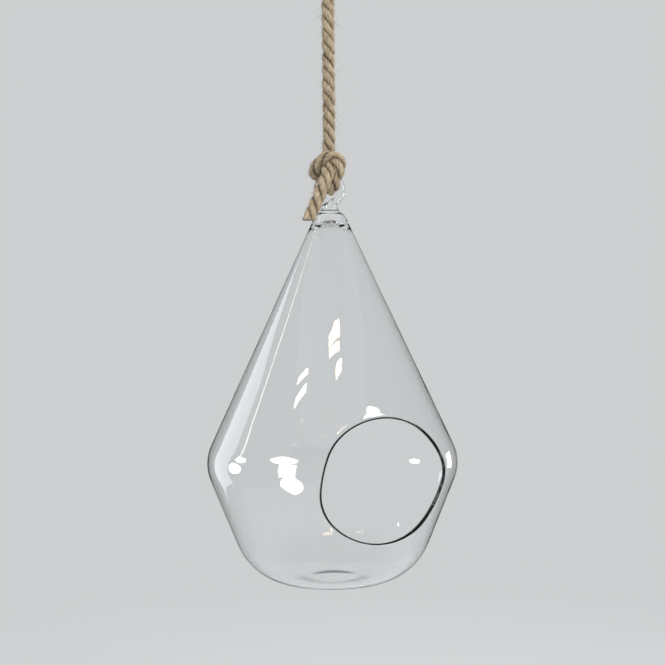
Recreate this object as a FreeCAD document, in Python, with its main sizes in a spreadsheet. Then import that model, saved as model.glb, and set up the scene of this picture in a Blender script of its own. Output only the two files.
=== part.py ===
"""Hanging propagation vase: blown clear glass with a side opening, a glass eye and a jute rope.

Millimetres, +Z up, the side opening facing -Y. The origin is the centre of the hook that the
hang loop goes over.
"""
import FreeCAD, Part
import math
import os
import Sketcher

from FreeCAD import Vector

os.makedirs("parts", exist_ok=True)
doc = FreeCAD.newDocument("hanging_vase")

# Driving dimensions in millimetres. Each one is a cell of the sheet with this alias.
SIZES = {
    # Glass vessel
    "widest_diameter": 120.0,
    "shoulder_height": 57.5,
    "shoulder_round": 20.0,
    "cone_height": 118.7,
    "cone_top_diameter": 14.0,
    "wall": 2.0,
    "cavity_tip_round": 10.0,
    "foot_diameter": 36.0,
    "foot_ring_width": 6.0,
    "base_round": 30.0,
    "punt_rise": 1.2,
    # Opening in its side
    "opening_width": 62.0,
    "opening_height": 56.0,
    "opening_drop": 5.0,
    "rim_polish": 0.8,
    # Glass eye fused onto its top
    "eye_hole_diameter": 8.8,
    "eye_rod_diameter": 3.8,
    "neck_height": 6.0,
    "neck_waist_diameter": 7.7,
    "neck_waist_rise": 3.8,
    # Rope
    "rope_diameter": 6.0,
    "eye_drop": 134.0,
    "top_knot_drop": 27.0,
}

sheet = doc.addObject("Spreadsheet::Sheet", "sizes")
for row, (alias, value) in enumerate(SIZES.items(), start=1):
    sheet.set(f"A{row}", alias)
    sheet.set(f"B{row}", str(value))
    sheet.setAlias(f"B{row}", alias)
doc.recompute()

# Heights of the glass below the hook, for the Placement of its bodies
RING_LEVEL = "-(sizes.eye_drop + (sizes.eye_hole_diameter + sizes.eye_rod_diameter) / 2)"
BASE_LEVEL = (
    "-(sizes.eye_drop + sizes.eye_hole_diameter + sizes.eye_rod_diameter + sizes.neck_height"
    " + sizes.cone_height + sizes.shoulder_height)"
)

# How far off the opening's oval a point may lie, as a share of its size, and still be on it
MATCH_SHARE = 0.001

# The rope's solid is a round tube where it hangs straight, and has this many flat sides where it
# bends.
ROPE_SIDES = 8

# Each arc of the rope takes this share of the shorter run beside it.
ARC_SHARE = 0.45

# The rope's route, chosen by hand. These points are measured from the centre of the eye's top
# rod: the cut tail, the wrap round the standing rope, the bight through the eye, and the
# standing rope, which leaves upwards.
TAIL_ROUTE = [(-15.4, -8.8, -20.8), (-12.1, -9.3, -14.0), (-8.8, -9.1, -7.2), (-5.4, -7.8, -1.2)]
WRAP_ROUTE = [
    (-2.6, -3.6, 4.0),
    (2.6, -2.4, 5.2),
    (5.2, 2.0, 5.0),
    (4.4, 7.3, 3.8),
    (-0.8, 10.0, 3.2),
    (-5.2, 6.8, 4.2),
    (-6.9, 2.2, 7.6),
    (-5.4, -2.6, 11.4),
    (-1.2, -5.8, 12.6),
    (1.0, -8.4, 9.0),
    (0.6, -8.4, 3.6),
]
BIGHT_ROUTE = [(0.0, -5.7, -1.2), (0.0, -4.2, -5.5), (0.0, 0.4, -6.9), (0.0, 4.7, -4.4), (0.0, 5.6, 0.9)]
CORE_ROUTE = [(-0.5, 4.0, 6.2), (-0.4, 1.4, 11.4), (0.0, 0.0, 17.0)]

# The top knot is the same noose upside down, with a shorter tail. Its points, and those of the
# hang loop above it, are measured upwards from the foot of the hang loop.
TOP_TAIL_ROUTE = [(-11.4, -9.0, -12.9), (-8.6, -9.1, -7.0), (-5.4, -7.8, -1.2)]
LOOP_ROUTE = [
    (0.4, -7.0, 3.4),
    (0.0, -8.2, 11.0),
    (0.0, -9.4, 19.0),
    (0.0, -9.0, 27.6),
    (0.0, -4.9, 34.6),
    (0.0, 3.6, 36.4),
    (0.0, 9.0, 30.2),
    (0.0, 9.6, 21.6),
    (0.0, 8.4, 13.4),
    (0.0, 6.6, 5.4),
]


def size(alias):
    """Value of one cell of the sheet."""
    return float(sheet.get(alias))


def origin_plane(body, role):
    return next(item for item in body.Origin.OriginFeatures if item.Role == role)


def new_sketch(body, name, role):
    """Sketch on one of the body's own origin planes."""
    sketch = body.newObject("Sketcher::SketchObject", name)
    sketch.AttachmentSupport = (origin_plane(body, role), [""])
    sketch.MapMode = "FlatFace"
    return sketch


def drive(sketch, constraint, name, expression):
    """Add a named dimension to a sketch and bind it to the sheet."""
    index = sketch.addConstraint(constraint)
    sketch.renameConstraint(index, name)
    sketch.setExpression("Constraints." + name, expression)


# Sketcher numbers the points of an edge, and its own two axes, like this.
START, END, CENTRE = (1, 2, 3)
X_AXIS, Z_AXIS = (-1, -2)


def polar(centre, radius, angle):
    return Vector(centre.x + radius * math.cos(angle), centre.y + radius * math.sin(angle), 0)


def arc_between(centre, radius, first, last):
    circle = Part.Circle(centre, Vector(0, 0, 1), radius)
    return Part.ArcOfCircle(circle, first, last)


def cap_arc(rim, top):
    """Arc from the rim point round to the top point on the axis, its centre on the axis."""
    rise = top.y - rim.y
    radius = (rim.x ** 2 + rise ** 2) / (2 * rise)
    centre = Vector(0, top.y - radius, 0)
    first = math.atan2(rim.y - centre.y, rim.x)
    return arc_between(centre, radius, first, math.pi / 2)


# Glass vessel: a wall section turned about the axis, with the opening cut through one side
def wall_section(sketch):
    """Closed outline of the wall: outer face up from the foot, inner face down to the floor."""
    wall = size("wall")
    round_outer = size("shoulder_round")
    base_outer = size("base_round")
    foot_radius = size("foot_diameter") / 2
    foot_inner = foot_radius - size("foot_ring_width")
    shoulder = Vector(size("widest_diameter") / 2 - round_outer, size("shoulder_height"), 0)
    base = Vector(foot_radius, base_outer, 0)
    cone_top = Vector(size("cone_top_diameter") / 2, size("shoulder_height") + size("cone_height"), 0)

    # Direction of the outward normal of the upper cone and of the lower one
    to_top = cone_top - shoulder
    upper = math.atan2(to_top.y, to_top.x) - math.acos(round_outer / to_top.Length)
    to_shoulder = shoulder - base
    lean = math.acos((base_outer - round_outer) / to_shoulder.Length)
    lower = math.atan2(to_shoulder.y, to_shoulder.x) - lean

    tip_round = size("cavity_tip_round")
    offset = shoulder.x * math.cos(upper) + shoulder.y * math.sin(upper) + round_outer - wall
    tip = Vector(0, (offset - tip_round) / math.sin(upper), 0)

    punt_rim = Vector(foot_inner, 0, 0)
    punt_top = Vector(0, size("punt_rise"), 0)
    floor_rim = Vector(foot_radius, wall, 0)
    floor_top = Vector(0, wall + size("punt_rise"), 0)
    tip_top = polar(tip, tip_round, math.pi / 2)

    punt = sketch.addGeometry(cap_arc(punt_rim, punt_top))
    foot = sketch.addGeometry(Part.LineSegment(punt_rim, Vector(foot_radius, 0, 0)))
    base_arc = sketch.addGeometry(arc_between(base, base_outer, -math.pi / 2, lower))
    lower_line = sketch.addGeometry(
        Part.LineSegment(polar(base, base_outer, lower), polar(shoulder, round_outer, lower)))
    shoulder_arc = sketch.addGeometry(arc_between(shoulder, round_outer, lower, upper))
    upper_line = sketch.addGeometry(
        Part.LineSegment(polar(shoulder, round_outer, upper), cone_top))
    seat = sketch.addGeometry(Part.LineSegment(cone_top, Vector(0, cone_top.y, 0)))
    tip_axis = sketch.addGeometry(Part.LineSegment(Vector(0, cone_top.y, 0), tip_top))
    tip_arc = sketch.addGeometry(arc_between(tip, tip_round, upper, math.pi / 2))
    upper_inner = sketch.addGeometry(
        Part.LineSegment(polar(tip, tip_round, upper), polar(shoulder, round_outer - wall, upper)))
    shoulder_inner = sketch.addGeometry(arc_between(shoulder, round_outer - wall, lower, upper))
    lower_inner = sketch.addGeometry(
        Part.LineSegment(
            polar(shoulder, round_outer - wall, lower), polar(base, base_outer - wall, lower)))
    base_inner = sketch.addGeometry(arc_between(base, base_outer - wall, -math.pi / 2, lower))
    floor = sketch.addGeometry(cap_arc(floor_rim, floor_top))
    floor_axis = sketch.addGeometry(Part.LineSegment(floor_top, punt_top))

    joined = [
        Sketcher.Constraint("Coincident", punt, START, foot, START),
        Sketcher.Constraint("Tangent", foot, END, base_arc, START),
        Sketcher.Constraint("Tangent", base_arc, END, lower_line, START),
        Sketcher.Constraint("Tangent", lower_line, END, shoulder_arc, START),
        Sketcher.Constraint("Tangent", shoulder_arc, END, upper_line, START),
        Sketcher.Constraint("Coincident", upper_line, END, seat, START),
        Sketcher.Constraint("Coincident", seat, END, tip_axis, START),
        Sketcher.Constraint("Coincident", tip_axis, END, tip_arc, END),
        Sketcher.Constraint("Tangent", tip_arc, START, upper_inner, START),
        Sketcher.Constraint("Tangent", upper_inner, END, shoulder_inner, END),
        Sketcher.Constraint("Tangent", shoulder_inner, START, lower_inner, START),
        Sketcher.Constraint("Tangent", lower_inner, END, base_inner, END),
        Sketcher.Constraint("Coincident", base_inner, START, floor, START),
        Sketcher.Constraint("Coincident", floor, END, floor_axis, START),
        Sketcher.Constraint("Coincident", floor_axis, END, punt, END),
        Sketcher.Constraint("Coincident", shoulder_inner, CENTRE, shoulder_arc, CENTRE),
        Sketcher.Constraint("Coincident", base_inner, CENTRE, base_arc, CENTRE),
        Sketcher.Constraint("Vertical", base_inner, START, base_inner, CENTRE),
        Sketcher.Constraint("Parallel", upper_inner, upper_line),
        Sketcher.Constraint("Horizontal", foot),
        Sketcher.Constraint("PointOnObject", foot, START, X_AXIS),
        Sketcher.Constraint("Horizontal", seat),
        Sketcher.Constraint("PointOnObject", seat, END, Z_AXIS),
        Sketcher.Constraint("PointOnObject", tip_arc, END, Z_AXIS),
        Sketcher.Constraint("PointOnObject", tip_arc, CENTRE, Z_AXIS),
        Sketcher.Constraint("PointOnObject", floor, END, Z_AXIS),
        Sketcher.Constraint("PointOnObject", floor, CENTRE, Z_AXIS),
        Sketcher.Constraint("PointOnObject", punt, END, Z_AXIS),
        Sketcher.Constraint("PointOnObject", punt, CENTRE, Z_AXIS),
    ]
    sketch.addConstraint(joined)

    def across(geometry, point, value, name, expression):
        made = Sketcher.Constraint("DistanceX", X_AXIS, START, geometry, point, value)
        drive(sketch, made, name, expression)

    def up(geometry, point, value, name, expression):
        made = Sketcher.Constraint("DistanceY", X_AXIS, START, geometry, point, value)
        drive(sketch, made, name, expression)

    def radius(geometry, value, name, expression):
        drive(sketch, Sketcher.Constraint("Radius", geometry, value), name, expression)

    across(shoulder_arc, CENTRE, shoulder.x, "shoulder_centre",
           "sizes.widest_diameter / 2 - sizes.shoulder_round")
    up(shoulder_arc, CENTRE, shoulder.y, "shoulder_level", "sizes.shoulder_height")
    across(base_arc, CENTRE, base.x, "foot_radius", "sizes.foot_diameter / 2")
    across(foot, START, foot_inner, "foot_inner_radius", "sizes.foot_diameter / 2 - sizes.foot_ring_width")
    across(upper_line, END, cone_top.x, "cone_top_radius", "sizes.cone_top_diameter / 2")
    up(upper_line, END, cone_top.y, "cone_top_level", "sizes.shoulder_height + sizes.cone_height")
    up(punt, END, punt_top.y, "punt_level", "sizes.punt_rise")
    up(floor, END, floor_top.y, "floor_level", "sizes.wall + sizes.punt_rise")
    radius(shoulder_arc, round_outer, "shoulder_radius", "sizes.shoulder_round")
    radius(base_arc, base_outer, "base_radius", "sizes.base_round")
    radius(shoulder_inner, round_outer - wall, "shoulder_inner_radius", "sizes.shoulder_round - sizes.wall")
    radius(base_inner, base_outer - wall, "base_inner_radius", "sizes.base_round - sizes.wall")
    radius(tip_arc, tip_round, "tip_radius", "sizes.cavity_tip_round")


def opening_outline(sketch):
    """Oval of the opening, seen from the front."""
    half_width = size("opening_width") / 2
    half_height = size("opening_height") / 2
    centre = Vector(0, size("shoulder_height") - size("opening_drop"), 0)
    side = centre + Vector(half_width, 0, 0)
    crown = centre + Vector(0, half_height, 0)
    wide = half_width >= half_height
    ends = (side, crown) if wide else (crown, side)
    oval = sketch.addGeometry(Part.Ellipse(ends[0], ends[1], centre))
    sketch.exposeInternalGeometry(oval)
    major = oval + 1
    minor = oval + 2
    level, upright = (major, minor) if wide else (minor, major)
    sketch.addConstraint(Sketcher.Constraint("Horizontal", level))
    sketch.addConstraint(Sketcher.Constraint("PointOnObject", oval, CENTRE, Z_AXIS))
    made = Sketcher.Constraint("DistanceY", X_AXIS, START, oval, CENTRE, centre.y)
    drive(sketch, made, "opening_level", "sizes.shoulder_height - sizes.opening_drop")
    made = Sketcher.Constraint("Distance", level, 2 * half_width)
    drive(sketch, made, "opening_width", "sizes.opening_width")
    made = Sketcher.Constraint("Distance", upright, 2 * half_height)
    drive(sketch, made, "opening_height", "sizes.opening_height")


def on_opening(edge):
    """True for the two edges that run round the cut, on the outer and the inner face."""
    if edge.Degenerated or isinstance(edge.Curve, Part.Line):
        return False
    middle = edge.valueAt((edge.FirstParameter + edge.LastParameter) / 2)
    across = middle.x / (size("opening_width") / 2)
    up = (middle.z - size("shoulder_height") + size("opening_drop")) / (size("opening_height") / 2)
    return middle.y < 0 and abs(math.hypot(across, up) - 1) < MATCH_SHARE


def glass_vessel():
    body = doc.addObject("PartDesign::Body", "glass_vessel")
    section = new_sketch(body, "vessel_section", "XZ_Plane")
    wall_section(section)
    blown = body.newObject("PartDesign::Revolution", "blown_wall")
    blown.Profile = section
    blown.ReferenceAxis = (section, ["V_Axis"])
    blown.Angle = 360
    doc.recompute()
    closed_volume = blown.Shape.Volume

    outline = new_sketch(body, "opening_outline", "XZ_Plane")
    opening_outline(outline)
    cut = body.newObject("PartDesign::Pocket", "side_opening")
    cut.Profile = outline
    cut.Type = "Length"
    cut.setExpression("Length", "sizes.widest_diameter")
    cut.Reversed = True
    doc.recompute()
    print("side opening removes", round(closed_volume - cut.Shape.Volume), "mm3")

    rim = [f"Edge{n}" for n, edge in enumerate(cut.Shape.Edges, start=1) if on_opening(edge)]
    polished = body.newObject("PartDesign::Fillet", "polished_rim")
    polished.Base = (cut, rim)
    polished.setExpression("Radius", "sizes.rim_polish")
    body.setExpression("Placement.Base.z", BASE_LEVEL)
    return body


# Glass eye: a ring of glass rod, its hole along Y, on a short neck that flares onto the vessel
def ring_section(sketch):
    rod_radius = size("eye_rod_diameter") / 2
    ring_radius = size("eye_hole_diameter") / 2 + rod_radius
    rod = sketch.addGeometry(Part.Circle(Vector(ring_radius, 0, 0), Vector(0, 0, 1), rod_radius))
    sketch.addConstraint(Sketcher.Constraint("PointOnObject", rod, CENTRE, X_AXIS))
    drive(sketch, Sketcher.Constraint("Radius", rod, rod_radius), "rod", "sizes.eye_rod_diameter / 2")
    made = Sketcher.Constraint("DistanceX", X_AXIS, START, rod, CENTRE, ring_radius)
    drive(sketch, made, "ring", "(sizes.eye_hole_diameter + sizes.eye_rod_diameter) / 2")


def neck_section(sketch):
    """Flared foot, waist and domed top, which ends inside the ring's lowest rod."""
    ring_radius = (size("eye_hole_diameter") + size("eye_rod_diameter")) / 2
    foot_level = -(ring_radius + size("neck_height"))
    foot_radius = size("cone_top_diameter") / 2
    waist_radius = size("neck_waist_diameter") / 2
    waist_rise = size("neck_waist_rise")
    flare = foot_radius - waist_radius
    flare_radius = (flare ** 2 + waist_rise ** 2) / (2 * flare)
    waist_level = foot_level + waist_rise
    flare_centre = Vector(waist_radius + flare_radius, waist_level, 0)
    waist_centre = Vector(0, waist_level, 0)
    foot_rim = Vector(foot_radius, foot_level, 0)
    first = math.atan2(foot_rim.y - flare_centre.y, foot_rim.x - flare_centre.x)

    seat = sketch.addGeometry(Part.LineSegment(Vector(0, foot_level, 0), foot_rim))
    flare_arc = sketch.addGeometry(arc_between(flare_centre, flare_radius, -math.pi, first))
    dome = sketch.addGeometry(arc_between(waist_centre, waist_radius, 0, math.pi / 2))
    top = Vector(0, waist_level + waist_radius, 0)
    core = sketch.addGeometry(Part.LineSegment(top, Vector(0, foot_level, 0)))
    sketch.addConstraint([
        Sketcher.Constraint("Horizontal", seat),
        Sketcher.Constraint("Coincident", seat, END, flare_arc, END),
        Sketcher.Constraint("Tangent", flare_arc, START, dome, START),
        Sketcher.Constraint("Horizontal", flare_arc, START, flare_arc, CENTRE),
        Sketcher.Constraint("Coincident", dome, END, core, START),
        Sketcher.Constraint("Coincident", core, END, seat, START),
        Sketcher.Constraint("PointOnObject", dome, CENTRE, Z_AXIS),
        Sketcher.Constraint("PointOnObject", dome, END, Z_AXIS),
        Sketcher.Constraint("PointOnObject", seat, START, Z_AXIS),
    ])
    made = Sketcher.Constraint("DistanceY", seat, START, X_AXIS, START, -foot_level)
    drive(sketch, made, "neck_foot",
          "(sizes.eye_hole_diameter + sizes.eye_rod_diameter) / 2 + sizes.neck_height")
    made = Sketcher.Constraint("DistanceX", X_AXIS, START, seat, END, foot_radius)
    drive(sketch, made, "neck_foot_radius", "sizes.cone_top_diameter / 2")
    drive(sketch, Sketcher.Constraint("Radius", dome, waist_radius), "waist", "sizes.neck_waist_diameter / 2")
    made = Sketcher.Constraint("DistanceY", seat, START, dome, CENTRE, waist_rise)
    drive(sketch, made, "waist_rise", "sizes.neck_waist_rise")


def hanging_eye():
    body = doc.addObject("PartDesign::Body", "hanging_eye")
    ring_outline = new_sketch(body, "ring_section", "XY_Plane")
    ring_section(ring_outline)
    ring = body.newObject("PartDesign::Revolution", "ring")
    ring.Profile = ring_outline
    ring.ReferenceAxis = (ring_outline, ["V_Axis"])
    ring.Angle = 360
    neck_outline = new_sketch(body, "neck_section", "XZ_Plane")
    neck_section(neck_outline)
    neck = body.newObject("PartDesign::Revolution", "neck")
    neck.Profile = neck_outline
    neck.ReferenceAxis = (neck_outline, ["V_Axis"])
    neck.Angle = 360
    body.setExpression("Placement.Base.z", RING_LEVEL)
    return body


# Rope: one route from the cut tail to the top tail, cut into stretches
def rope_route():
    """Points of the whole rope, and the number of the first point of each of its parts."""
    eye_top = -size("eye_drop")
    loop_foot = -size("top_knot_drop")

    def below(points):
        return [Vector(x, y, eye_top + z) for x, y, z in points]

    def above(points):
        return [Vector(x, y, loop_foot + z) for x, y, z in points]

    def turned(points):
        return [Vector(x, y, loop_foot - z) for x, y, z in reversed(points)]

    parts = [
        ("tail", below(TAIL_ROUTE)),
        ("wrap", below(WRAP_ROUTE)),
        ("bight", below(BIGHT_ROUTE)),
        ("core", below(CORE_ROUTE)),
        ("top_core", turned(CORE_ROUTE)),
        ("loop", above(reversed(LOOP_ROUTE))),
        ("top_wrap", turned(WRAP_ROUTE)),
        ("top_tail", turned(TOP_TAIL_ROUTE)),
    ]
    points = []
    firsts = {}
    for name, stretch in parts:
        firsts[name] = len(points)
        points.extend(stretch)
    return points, firsts


def corner(points, number):
    """Tangent points, middle and radius of the arc that rounds one point of the route."""
    before = points[number - 1] - points[number]
    after = points[number + 1] - points[number]
    reach = ARC_SHARE * min(before.Length, after.Length)
    turn = math.pi - before.getAngle(after)
    radius = reach / math.tan(turn / 2)
    start = points[number] + before.normalize() * reach
    end = points[number] + after.normalize() * reach
    inward = (start + end) * 0.5 - points[number]
    depth = radius / math.cos(turn / 2) - radius
    middle = points[number] + inward.normalize() * depth
    return start, middle, end, radius


def stretch_path(points, first, last):
    """Edges from the middle of the run before point first to the middle of the run after last.

    At the two ends of the rope the path starts or stops at the end point itself.
    """
    at = points[0] if first == 0 else (points[first - 1] + points[first]) * 0.5
    edges = []
    radii = []
    for number in range(max(first, 1), min(last, len(points) - 2) + 1):
        start, middle, end, radius = corner(points, number)
        edges.append(Part.LineSegment(at, start).toShape())
        edges.append(Part.Arc(start, middle, end).toShape())
        radii.append(radius)
        at = end
    stop = points[-1] if last == len(points) - 1 else (points[last] + points[last + 1]) * 0.5
    edges.append(Part.LineSegment(at, stop).toShape())
    return Part.Wire(edges), radii


def tube(points, first, last, label, is_round=False):
    """Tube along one stretch, with its radii printed and its volume compared."""
    path, radii = stretch_path(points, first, last)
    rope_radius = size("rope_diameter") / 2
    start = path.Edges[0]
    along = start.tangentAt(start.FirstParameter)
    ring = Part.Circle(start.Vertexes[0].Point, along, rope_radius).toShape()
    profile = Part.Wire([ring]) if is_round else Part.makePolygon(ring.discretize(ROPE_SIDES + 1))
    solid = path.makePipeShell([profile], True, False)
    expected = Part.Face(profile).Area * path.Length
    print(label, "length", round(path.Length, 1), "volume ratio", round(solid.Volume / expected, 4),
          "radii", " ".join(f"{radius:.1f}" for radius in radii))
    return solid


def feature(name, shape):
    made = doc.addObject("Part::Feature", name)
    made.Shape = shape
    made.Placement = FreeCAD.Placement()
    return made


def knot(name, points, tubes):
    """Tight knot: its strands press into each other, so their tubes are fused into one solid."""
    strands = []
    for number, (first, last) in enumerate(tubes, start=1):
        strands.append(feature(f"{name}_strand_{number}", tube(points, first, last, f"{name} {number}")))
    fused = doc.addObject("Part::MultiFuse", name)
    fused.Shapes = strands
    return fused


def rope():
    points, firsts = rope_route()
    back = firsts["wrap"] + len(WRAP_ROUTE) // 2
    top_back = firsts["top_wrap"] + len(WRAP_ROUTE) // 2
    core_end = firsts["top_core"] - 1
    # Each tail leaves its knot at its second point, where it is clear of the bight or the loop.
    tail_end = len(TAIL_ROUTE) - 2
    top_tail_start = firsts["top_tail"] + 1
    nodes = [
        feature("rope_tail", tube(points, 0, tail_end, "rope_tail")),
        knot("eye_knot", points, [
            (tail_end + 1, back),
            (back + 1, firsts["bight"] - 1),
            (firsts["core"], core_end - 1),
        ]),
        feature("eye_bight", tube(points, firsts["bight"], firsts["core"] - 1, "eye_bight")),
        feature("rope_lower", tube(points, core_end, core_end, "rope_lower", is_round=True)),
        feature("rope_upper", tube(points, core_end + 1, core_end + 1, "rope_upper", is_round=True)),
        knot("top_knot", points, [
            (core_end + 2, firsts["loop"] - 1),
            (firsts["top_wrap"], top_back),
            (top_back + 1, top_tail_start - 1),
        ]),
        feature("hang_loop", tube(points, firsts["loop"], firsts["top_wrap"] - 1, "hang_loop")),
        feature("top_tail", tube(points, top_tail_start, len(points) - 1, "top_tail")),
    ]
    whole, radii = stretch_path(points, 0, len(points) - 1)
    print("whole rope", round(whole.Length, 1), "mm, tightest radius", round(min(radii), 1), "mm")
    return nodes


nodes = [glass_vessel(), hanging_eye()] + rope()
doc.recompute()

for item in doc.Objects:
    if "Invalid" in item.State or "Error" in item.State:
        raise RuntimeError(f"{item.Name} failed: {item.State}")
for node in nodes:
    node.Label = node.Name
    shape = node.Shape
    if shape.isNull() or not shape.isValid() or len(shape.Solids) != 1:
        raise RuntimeError(f"{node.Label} is not one valid solid")
    print(node.Label, "volume", round(shape.Volume), "mm3")
    shape.exportStep(f"parts/{node.Label}.step")
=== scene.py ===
"""Hanging propagation vase: blown clear glass with a side opening, tied to a jute rope."""

import math
import random

import bmesh
import bpy
from bpy.props import FloatProperty, FloatVectorProperty, IntProperty, PointerProperty
from bpy.types import Operator, Panel, PropertyGroup
from mathutils import Matrix, Vector, noise
from mathutils.kdtree import KDTree


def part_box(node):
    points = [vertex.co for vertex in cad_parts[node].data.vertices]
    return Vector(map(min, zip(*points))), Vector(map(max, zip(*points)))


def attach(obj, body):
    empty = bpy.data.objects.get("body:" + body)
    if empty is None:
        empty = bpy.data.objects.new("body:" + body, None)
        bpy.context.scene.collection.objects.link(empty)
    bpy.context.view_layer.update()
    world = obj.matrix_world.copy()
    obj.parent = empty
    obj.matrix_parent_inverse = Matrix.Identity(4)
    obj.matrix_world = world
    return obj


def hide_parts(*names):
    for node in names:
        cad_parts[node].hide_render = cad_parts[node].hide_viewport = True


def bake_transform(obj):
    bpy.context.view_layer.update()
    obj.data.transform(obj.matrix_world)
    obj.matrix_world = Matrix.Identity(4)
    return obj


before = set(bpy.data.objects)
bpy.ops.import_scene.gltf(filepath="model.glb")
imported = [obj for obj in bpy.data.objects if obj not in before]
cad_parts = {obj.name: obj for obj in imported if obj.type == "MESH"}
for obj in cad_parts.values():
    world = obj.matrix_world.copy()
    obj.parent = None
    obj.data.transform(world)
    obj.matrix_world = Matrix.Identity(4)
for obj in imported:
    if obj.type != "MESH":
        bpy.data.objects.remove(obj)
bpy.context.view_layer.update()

bl_info = {
    "name": "Hanging Propagation Vase",
    "version": (1, 0, 0),
    "blender": (4, 5, 0),
    "location": "View3D > Sidebar > Vase",
    "description": "Builds a hanging glass vase, its jute rope and a pale studio",
    "category": "Object",
}

GLASS_LOW, GLASS_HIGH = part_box("glass_vessel")
_, EYE_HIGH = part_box("hanging_eye")

# The eye's ring is as wide as the whole eye and ends at its top.
RING_LEVEL = EYE_HIGH.z - EYE_HIGH.x

MM = 0.001
UP = Vector((0.0, 0.0, 1.0))

# Points that are nearer to each other than this are in one place.
SAME_PLACE = 0.01 * MM

# The rope's route in metres, measured from the centre of the eye's top rod: the cut tail, the wrap
# round the standing rope, the bight through the eye, and the standing rope.
TAIL_ROUTE = [
    (-0.0162, -0.0087, -0.0232),
    (-0.0121, -0.0093, -0.0140),
    (-0.0088, -0.0091, -0.0072),
    (-0.0054, -0.0078, -0.0012),
]
WRAP_ROUTE = [
    (-0.0026, -0.0040, 0.0038),
    (0.0030, -0.0034, 0.0052),
    (0.0062, 0.0020, 0.0042),
    (0.0048, 0.0078, 0.0022),
    (-0.0004, 0.0103, 0.0015),
    (-0.0046, 0.0077, 0.0020),
    (-0.0063, 0.0020, 0.0044),
    (-0.0050, -0.0026, 0.0076),
    (-0.0012, -0.0056, 0.0094),
    (0.0010, -0.0084, 0.0066),
    (0.0010, -0.0084, 0.0020),
]
BIGHT_ROUTE = [
    (0.0, -0.0057, -0.0012),
    (0.0, -0.0042, -0.0055),
    (0.0, 0.0004, -0.0069),
    (0.0, 0.0047, -0.0044),
    (0.0, 0.0056, 0.0009),
]
CORE_ROUTE = [(0.0, 0.0044, 0.0050), (0.0, 0.0014, 0.0104), (0.0, 0.0, 0.0170)]

# One more point beside each end of the long straight stretch, so that it is straight.
STRAIGHT_ROUTE = [(0.0, 0.0, 0.0230)]

# The top knot is the same noose, turned upside down at the foot of the hang loop, with a shorter
# tail. The loop's own points are measured upwards from its foot.
TOP_TAIL_ROUTE = [
    (-0.0114, -0.0090, -0.0129),
    (-0.0086, -0.0091, -0.0070),
    (-0.0054, -0.0078, -0.0012),
]
LOOP_ROUTE = [
    (0.0004, -0.0070, 0.0034),
    (0.0, -0.0082, 0.0110),
    (0.0, -0.0094, 0.0190),
    (0.0, -0.0090, 0.0276),
    (0.0, -0.0049, 0.0346),
    (0.0, 0.0036, 0.0364),
    (0.0, 0.0090, 0.0302),
    (0.0, 0.0096, 0.0216),
    (0.0, 0.0084, 0.0134),
    (0.0, 0.0066, 0.0054),
]


def linear(code):
    """A hex colour as linear red, green and blue, by the sRGB formula."""
    shares = [int(code[start:start + 2], 16) / 255 for start in (0, 2, 4)]
    return [
        share / 12.92 if share <= 0.04045 else ((share + 0.055) / 1.055) ** 2.4 for share in shares]


def length(label, about, default):
    """A length in metres, for a group of values."""
    return FloatProperty(name=label, description=about, default=default, unit="LENGTH", precision=5)


def angle(label, about, degrees):
    """An angle, given in degrees, for a group of values."""
    return FloatProperty(name=label, description=about, default=math.radians(degrees), unit="ROTATION")


def colour(label, about, code):
    """A colour, given as a hex colour, for a group of values."""
    return FloatVectorProperty(
        name=label, description=about, default=linear(code), subtype="COLOR", size=3, min=0, max=1)


class VaseGlassSizes(PropertyGroup):
    """Sizes of the blown glass."""

    widest_diameter: length("Widest diameter", "Across the shoulder", 2 * GLASS_HIGH.x)
    shoulder_height: length("Shoulder height", "Widest place above the foot", 57.5 * MM)
    shoulder_round: length("Shoulder round", "Radius of the shoulder", 20 * MM)
    cone_top_diameter: length("Cone top", "Diameter where the cone meets the neck", 14 * MM)
    wall: length("Wall", "Thickness of the glass", 2 * MM)
    cavity_tip_round: length("Cavity tip", "Radius of the cavity's top end", 10 * MM)
    foot_diameter: length("Foot", "Diameter where the foot meets the round of the base", 36 * MM)
    foot_ring_width: length("Foot ring", "Width of the flat ring that it stands on", 6 * MM)
    base_round: length("Base round", "Radius between the foot and the lower cone", 30 * MM)
    punt_rise: length("Punt", "Rise of the hollow under the foot", 1.2 * MM)
    opening_width: length("Opening width", "Width of the side opening", 62 * MM)
    opening_height: length("Opening height", "Height of the side opening", 56 * MM)
    opening_drop: length("Opening drop", "Centre of the opening below the shoulder", 4.5 * MM)
    rim_polish: length("Rim polish", "Rounding of the opening's rim", 0.75 * MM)
    eye_rod_diameter: length("Eye rod", "Thickness of the eye's glass rod", 3.8 * MM)
    neck_waist_diameter: length("Neck waist", "Narrowest diameter of the neck", 7.7 * MM)
    neck_waist_rise: length("Neck rise", "Waist of the neck above the cone's top", 3.8 * MM)
    waviness: length("Waviness", "How far mouth-blown glass strays from a true cone", 0.07 * MM)


class VaseRopeSizes(PropertyGroup):
    """Sizes of the jute rope."""

    diameter: length("Diameter", "Thickness of the rope", 6 * MM)
    lay: length("Lay", "Length in which a strand goes once round", 18 * MM)
    strand_diameter: length("Strand", "Thickness of one of the three strands", 3.5 * MM)
    strand_reach: length("Strand reach", "Middle of a strand from the middle of the rope", 1.45 * MM)
    length: length("Length", "Rope from cut end to cut end", 373 * MM)
    eye_drop: length("Drop", "Eye's top rod below the hook", 134 * MM)
    top_knot_drop: length("Top knot drop", "Foot of the hang loop below the hook", 27 * MM)
    tail_cut: length("Tail cut", "Level cut of the tail's end below the eye's top rod", 22.4 * MM)
    fibres: IntProperty(name="Fibres", description="Stray fibres on the rope", default=2600, min=0)


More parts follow.
